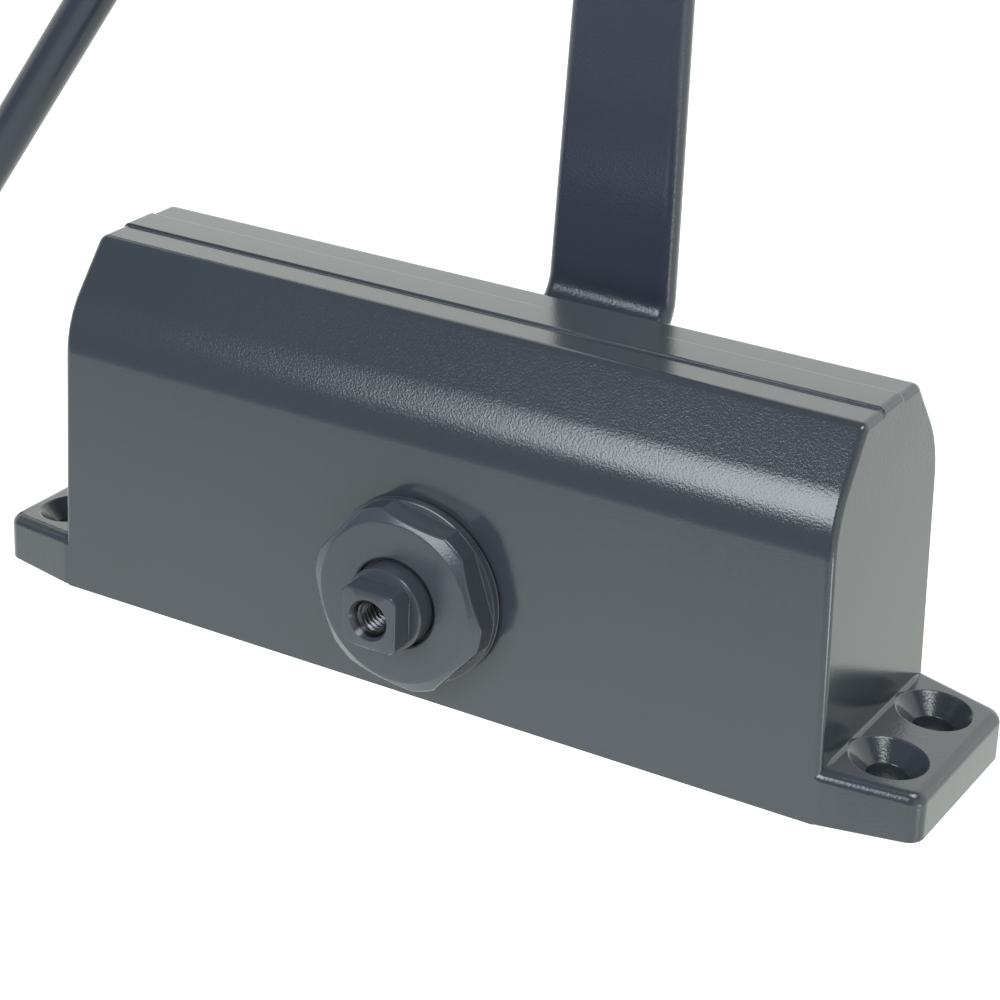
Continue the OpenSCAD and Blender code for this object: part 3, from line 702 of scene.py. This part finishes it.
def washer(name, r_out, r_in, z0, z1, place, e=0.2):
    """A ring with its outer edges cut at 45 degrees by e, and its inner ones by half of that."""
    return lathe(name, [
        (r_in, z0 + e / 2), (r_in + e / 2, z0), (r_out - e, z0), (r_out, z0 + e),
        (r_out, z1 - e), (r_out - e, z1), (r_in + e / 2, z1), (r_in, z1 - e / 2)
    ], place, 72, closed=True)


HEAD_W, HEAD_R = 10, 5.77           # the screw's and the elbow nut's hexagon

finish(washer("arm_washer_visual", 9, 3.2, 36.4, 38.0, rear), zinc, "spindle", ["arm_washer"])

screw = turned_hex("arm_screw_visual", [
    (2.45, 26, ""), (2.5, 38.0, ""), (4.6, 38.0, ""), (0.15, 38.05, "wall"), (0, 38.3, "wall"),
    (0, (42.0, 4.6, 0.55), "cone"), (0.5, (42.2, 4.6, 0.55), "cone"), (3.4, 42.2, ""), (3.0, 41.9, ""),
    (0.001, 41.8, ""), (0.001, 26, "")
], rear, HEAD_W, HEAD_R, 0.3)
finish(screw, zinc, "spindle", ["arm_screw"], angle=20)

stud = rounded([
    (0.001, 16.5), (3, 16.5), (3, 24.9), (6, 24.9), (6, 41), (4, 41),
    (4, 46), (8, 46), (8, 47.2), (5.5, 48.6), (0.001, 48.6)
], [0, 0.5, 0, 0.3, 0, 0, 0, 0.4, 0.7, 2.0, 0])
finish(lathe("elbow_stud_visual", stud, elbow, 72, closed=True), zinc, "spindle", ["elbow_stud"])
finish(washer("elbow_washer_visual", 9.5, 6, 39.1, 41.0, elbow, 0.25), zinc, "spindle", ["elbow_washer"])
finish(washer("elbow_retainer_visual", 9, 3, 23.5, 24.9, elbow), zinc, "spindle", ["elbow_retaining_washer"])
nut = turned_hex("elbow_nut_visual", [
    (3, 17, ""), (3, 23.5, ""), (4.6, 23.5, ""), (0.2, (23.45, 4.7, -0.55), "cone"),
    (0, (23.3, 4.7, -0.55), "cone"), (0, (18.75, 4.7, -0.55), "cone"), (0.3, (18.55, 4.7, -0.55), "cone"),
    (4.5, 18.5, ""), (4.3, 18.3, ""), (4.25, 17.4, ""), (4.0, 17, "")
], elbow, HEAD_W, HEAD_R, 0.4)
finish(nut, zinc, "spindle", ["elbow_nut"], angle=20)


# ---------------------------------------------------------------- forearm

# Its shapes are worked out along +Z, from the elbow down to the shoe's pivot
FOREARM_L, SLOPE, ROD_Y = 288.0, math.radians(35), 32.0
PIVOT = (ELBOW[0] - FOREARM_L * math.sin(SLOPE), 0, ELBOW[2] - FOREARM_L * math.cos(SLOPE))
along = at(ELBOW[0], ROD_Y, ELBOW[2]) @ Matrix.Rotation(PI + SLOPE, 4, "Y")
rod_eye = along @ at(0, 0, FOREARM_L)


def eye(name, r, t, edge, place):
    """A round plate about the local Y axis, t thick, with rounded edges."""
    return plate(name, circle(r, 72), -t / 2, t / 2, edge, edge, place @ ALONG_Y)


socket = lathe("forearm_socket_visual", rounded([
    (0.001, 4), (5.0, 4), (5.2, 12.5), (7.5, 18.5), (7.5, 50), (0.001, 50)
], [0, 0, 3, 2.5, 0.7, 0], step=8), along, 72, closed=True)
combine(socket, [eye("eye", 11, 14, 1.4, along)], "UNION")
combine(socket, [
    lathe("eye_hole", [
        (0, -9), (6.7, -9), (6.7, -7.1), (6.05, -6.5), (6.05, 6.5), (6.7, 7.1), (6.7, 9), (0, 9)
    ], along @ ALONG_Y, 72),
    lathe("rod_hole", [(0, 17), (4.05, 17), (4.05, 49.4), (4.7, 50.1), (4.7, 55), (0, 55)], along, 48)
], "DIFFERENCE")
finish(socket, coat_steel, "forearm", ["forearm_socket"])

nut = turned_hex("lock_nut_visual", [
    (4.05, 50.4, ""), (4.4, 50.02, ""), (6.0, 50.02, ""), (0.2, (50.05, 6.1, -0.55), "cone"),
    (0, (50.2, 6.1, -0.55), "cone"), (0, (56.3, 6.1, 0.55), "cone"), (0.3, (56.48, 6.1, 0.55), "cone"),
    (6.0, 56.5, ""), (4.4, 56.5, ""), (4.05, 56.1, "")
], along, 13, 7.5, 0.2)
finish(nut, zinc, "forearm", ["lock_nut"], angle=20)

ROD_STEPS = 36
rings = [ring_at(3.3, 30, ROD_STEPS)] + thread_rings(3.4, 4.0, 1.25, 30.5, 86.5, ROD_STEPS)
rings += [ring_at(r, z, ROD_STEPS) for r, z in (
    (3.5, 87.2), (4.0, 87.9), (4.3, 88.3), (4.45, 88.8), (4.45, 270), (4.4, 275), (3.95, 280.3))]
rod = build("forearm_rod_visual", rings, False, along)
combine(rod, [eye("rod_eye", 9, 8, 1.1, rod_eye)], "UNION")
combine(rod, [lathe("rod_eye_hole", [
    (0, -8), (4.6, -8), (4.6, -4.1), (4.05, -3.6), (4.05, 3.6), (4.6, 4.1), (4.6, 8), (0, 8)
], rod_eye @ ALONG_Y, 64)], "DIFFERENCE")
finish(rod, coat_rod, "rod", ["forearm_rod"])


# ---------------------------------------------------------------- shoe

SHOE_Y, SHOE_T, SHOE_D = 37.0, 4.0, 20.0
SHOE_R, SHOE_CAP_R = 1.5, 12            # inside of the bend, and round the pin
SHOE_MID = SHOE_R + SHOE_T / 2
SHOE_FLAT = SHOE_D - SHOE_R - SHOE_T
FOLD_END = SHOE_FLAT + SHOE_MID * PI / 2


def shoe_point(s, t):
    """(y, z) of a point s along the bent sheet from its base's far edge, t above its lower face."""
    if s <= SHOE_FLAT:
        return SHOE_Y + SHOE_D - s, t
    if s <= FOLD_END:
        a = (s - SHOE_FLAT) / SHOE_MID
        r = SHOE_R + SHOE_T - t
        return SHOE_Y + SHOE_T + SHOE_R - r * math.sin(a), SHOE_R + SHOE_T - r * math.cos(a)
    return SHOE_Y + t, s - FOLD_END + SHOE_R + SHOE_T


top = FOLD_END + PIVOT[2] - SHOE_R - SHOE_T
cap = arc(SHOE_CAP_R, top, range(0, 181, 9))
points = [(-46, 0), (-2, 0), (13.8, 15.8), (13.4, FOLD_END)] + cap
points += [(-44, FOLD_END + 1.5), (-50, FOLD_END), (-62, 17.5), (-62, 16)]
outline = rounded(points, [4, 4, 3, 0] + [0] * (len(cap) - 1) + [4, 3, 1.5, 0.8, 0.5])
shoe = bend("shoe_bracket_visual", plate("shoe_blank", outline, 0, SHOE_T, 0.6, 0.6),
            [SHOE_FLAT + (FOLD_END - SHOE_FLAT) * i / 16 for i in range(17)], shoe_point, at(PIVOT[0], 0, 0))
pivot = at(*PIVOT) @ ALONG_Y
cutters = [lathe("shoe_pin_hole", PIN_HOLE, pivot, 48)]
for x in (-41, -7):
    cutters.append(lathe("shoe_screw_hole", [
        (0, -1), (2.75, -1), (2.75, 1.6), (2.85, 1.8), (4.85, 3.8), (5.05, 3.95), (5.3, 4.01), (5.3, 6), (0, 6)
    ], at(PIVOT[0] + x, 49, 0), 48))
combine(shoe, cutters, "DIFFERENCE")
finish(shoe, coat_steel, "shoe", ["shoe_bracket"])

pin = rounded([
    (0.001, 24.8), (5.2, 24.8), (7, 26), (7, 27.9), (4, 27.9), (4, 41), (6, 41), (4.4, 42.6), (0.001, 42.6)
], [0, 1.2, 0.5, 0.3, 0, 0, 0.3, 1.2, 0])
finish(lathe("shoe_pin_visual", pin, pivot, 64, closed=True), zinc, "shoe", ["shoe_pin"])
finish(washer("shoe_washer_visual", 7, 4, 36.1, 37.0, pivot), zinc, "shoe", ["shoe_washer"])


# ---------------------------------------------------------------- main spring

# A copy of the CAD spring's mesh, fixed to the housing body
spring_mesh = nodes["main_spring"].data.copy()
spring_mesh.transform(nodes["main_spring"].matrix_world)
spring = bpy.data.objects.new("main_spring_visual", spring_mesh)
bpy.context.scene.collection.objects.link(spring)
finish(spring, spring_steel, "housing_body", ["main_spring"])
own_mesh(spring)


# ---------------------------------------------------------------- other CAD nodes

looks = {
    "end_plug": zinc, "closing_valve": zinc, "latching_valve": zinc,
    "front_bearing": steel, "rear_bearing": steel, "rack_piston": steel, "spring_seat": steel,
    "check_valve_seat": zinc, "check_valve_cage": zinc, "check_valve_ball": steel,
    "plug_o_ring": rubber, "closing_valve_o_ring": rubber, "latching_valve_o_ring": rubber,
    "front_shaft_seal": rubber, "rear_shaft_seal": rubber, "piston_seal": rubber,
    "front_nut_o_ring": rubber, "rear_nut_o_ring": rubber,
}
for name, mat in looks.items():
    obj = nodes[name]
    obj.data.materials.clear()
    obj.data.materials.append(mat)
    for f in obj.data.polygons:
        f.use_smooth = False


# ---------------------------------------------------------------- floor, lights and camera

scene = bpy.context.scene
FLOOR_Z, FLOOR_HALF = -420, 9000


def sheet(name, half, place, *look):
    """A square with sides of twice half, whose material is plain, with this look."""
    bm = bmesh.new()
    bmesh.ops.create_grid(bm, x_segments=1, y_segments=1, size=half)
    obj = keep(name, bm, place)
    obj.data.materials.append(plain(*look))
    return obj


def plain(name, color, roughness, specular, glow, glow_strength):
    """A material of one colour, which also glows."""
    m = bpy.data.materials.new(name)
    m.use_nodes = True
    inputs = m.node_tree.nodes["Principled BSDF"].inputs
    inputs["Base Color"].default_value = (*color, 1)
    inputs["Roughness"].default_value = roughness
    inputs["Specular IOR Level"].default_value = specular
    inputs["Emission Color"].default_value = (*glow, 1)
    inputs["Emission Strength"].default_value = glow_strength
    return m


floor = sheet("floor", FLOOR_HALF, at(0, 0, FLOOR_Z),
              "pale_floor", (0.80, 0.82, 0.78), 0.9, 0.1, (0.97, 1.0, 0.93), 0.62)

# A studio that is pale up to 24 degrees above the horizon and dark from 34 degrees. Behind the object, at +Y,
# the pale part reaches higher and is brighter.
world = bpy.data.worlds.new("studio")
world.use_nodes = True
t = world.node_tree
background = t.nodes["Background"]
towards = coordinates(t, "Generated")
behind = calculate(t, "MULTIPLY", towards["Y"], 0.7, clamp=True)
t.links.new(calculate(t, "MULTIPLY_ADD", behind, 1.1, 1.15), background.inputs["Strength"])
sky = node(t, "ShaderNodeMix", data_type="RGBA")
sky.inputs["A"].default_value = (0.97, 1.0, 0.95, 1)
sky.inputs["B"].default_value = (0.19, 0.215, 0.225, 1)
level = calculate(t, "SUBTRACT", towards["Z"], behind)
t.links.new(ramp(t, level, 0.40, 0.56), sky.inputs["Factor"])
t.links.new(sky.outputs["Result"], background.inputs["Color"])
scene.world = world
scene.view_settings.view_transform = "Standard"
scene.view_settings.look = "None"

# The unlit side of the studio, which only the gloss of the paint shows
CARD_AT, CARD_HALF = (-900, -1050, 740), (2000, 1160)
upright = at(*CARD_AT) @ Matrix.Rotation(PI / 2, 4, "X") @ Matrix.Diagonal((*CARD_HALF, 1, 1))
card = sheet("dark_card", 1, upright,
             "dark_card", (0.0, 0.0, 0.0), 1.0, 0.0, (0.86, 0.98, 1.0), 0.16)
card.visible_camera = False
card.visible_diffuse = False
card.visible_shadow = False


def softbox(name, place, target, w, h, power, color):
    """A rectangular light at place, in metres, that faces target."""
    light = bpy.data.lights.new(name, "AREA")
    light.shape = "RECTANGLE"
    light.size, light.size_y = w, h
    light.energy = power
    light.color = color
    obj = bpy.data.objects.new(name, light)
    obj.location = place
    obj.rotation_euler = (Vector(target) - Vector(place)).to_track_quat("-Z", "Y").to_euler()
    obj.visible_camera = False
    scene.collection.objects.link(obj)


softbox("key", (-0.12, -0.885, 0.47), (0.05, 0, 0.04), 0.65, 0.52, 10.5, (0.90, 0.95, 1.0))
softbox("top", (0.50, -0.15, 1.05), (0, 0, 0.04), 0.5, 0.5, 8, (0.95, 0.98, 1.0))
softbox("edge", (1.0, -0.18, -0.36), (0, 0, 0.03), 0.3, 0.1, 0.8, (0.97, 0.98, 1.0))

camera = bpy.data.cameras.new("camera")
camera.lens = 99.88
camera.sensor_width = 36
camera.shift_x = 0.0083
camera.shift_y = -0.0038
camera.clip_start = 0.01
camera.clip_end = 30
cam = bpy.data.objects.new("camera", camera)
# The camera's place, in metres, and its direction: azimuth, elevation and roll in radians
CAMERA_AT = (0.22374, -0.38003, 0.23232)
AZIMUTH, ELEVATION, ROLL = 0.528, 0.4295, -0.0344
flat = math.cos(ELEVATION)
back = Vector((math.sin(AZIMUTH) * flat, -math.cos(AZIMUTH) * flat, math.sin(ELEVATION)))
right = (-back).cross(Vector((0, 0, 1))).normalized()
down = (-back).cross(right).normalized()
cam_x = math.cos(ROLL) * right + math.sin(ROLL) * down
cam_y = math.sin(ROLL) * right - math.cos(ROLL) * down
cam.matrix_world = Matrix((
    (cam_x.x, cam_y.x, back.x, CAMERA_AT[0]),
    (cam_x.y, cam_y.y, back.y, CAMERA_AT[1]),
    (cam_x.z, cam_y.z, back.z, CAMERA_AT[2]),
    (0, 0, 0, 1)))
scene.collection.objects.link(cam)
scene.camera = cam
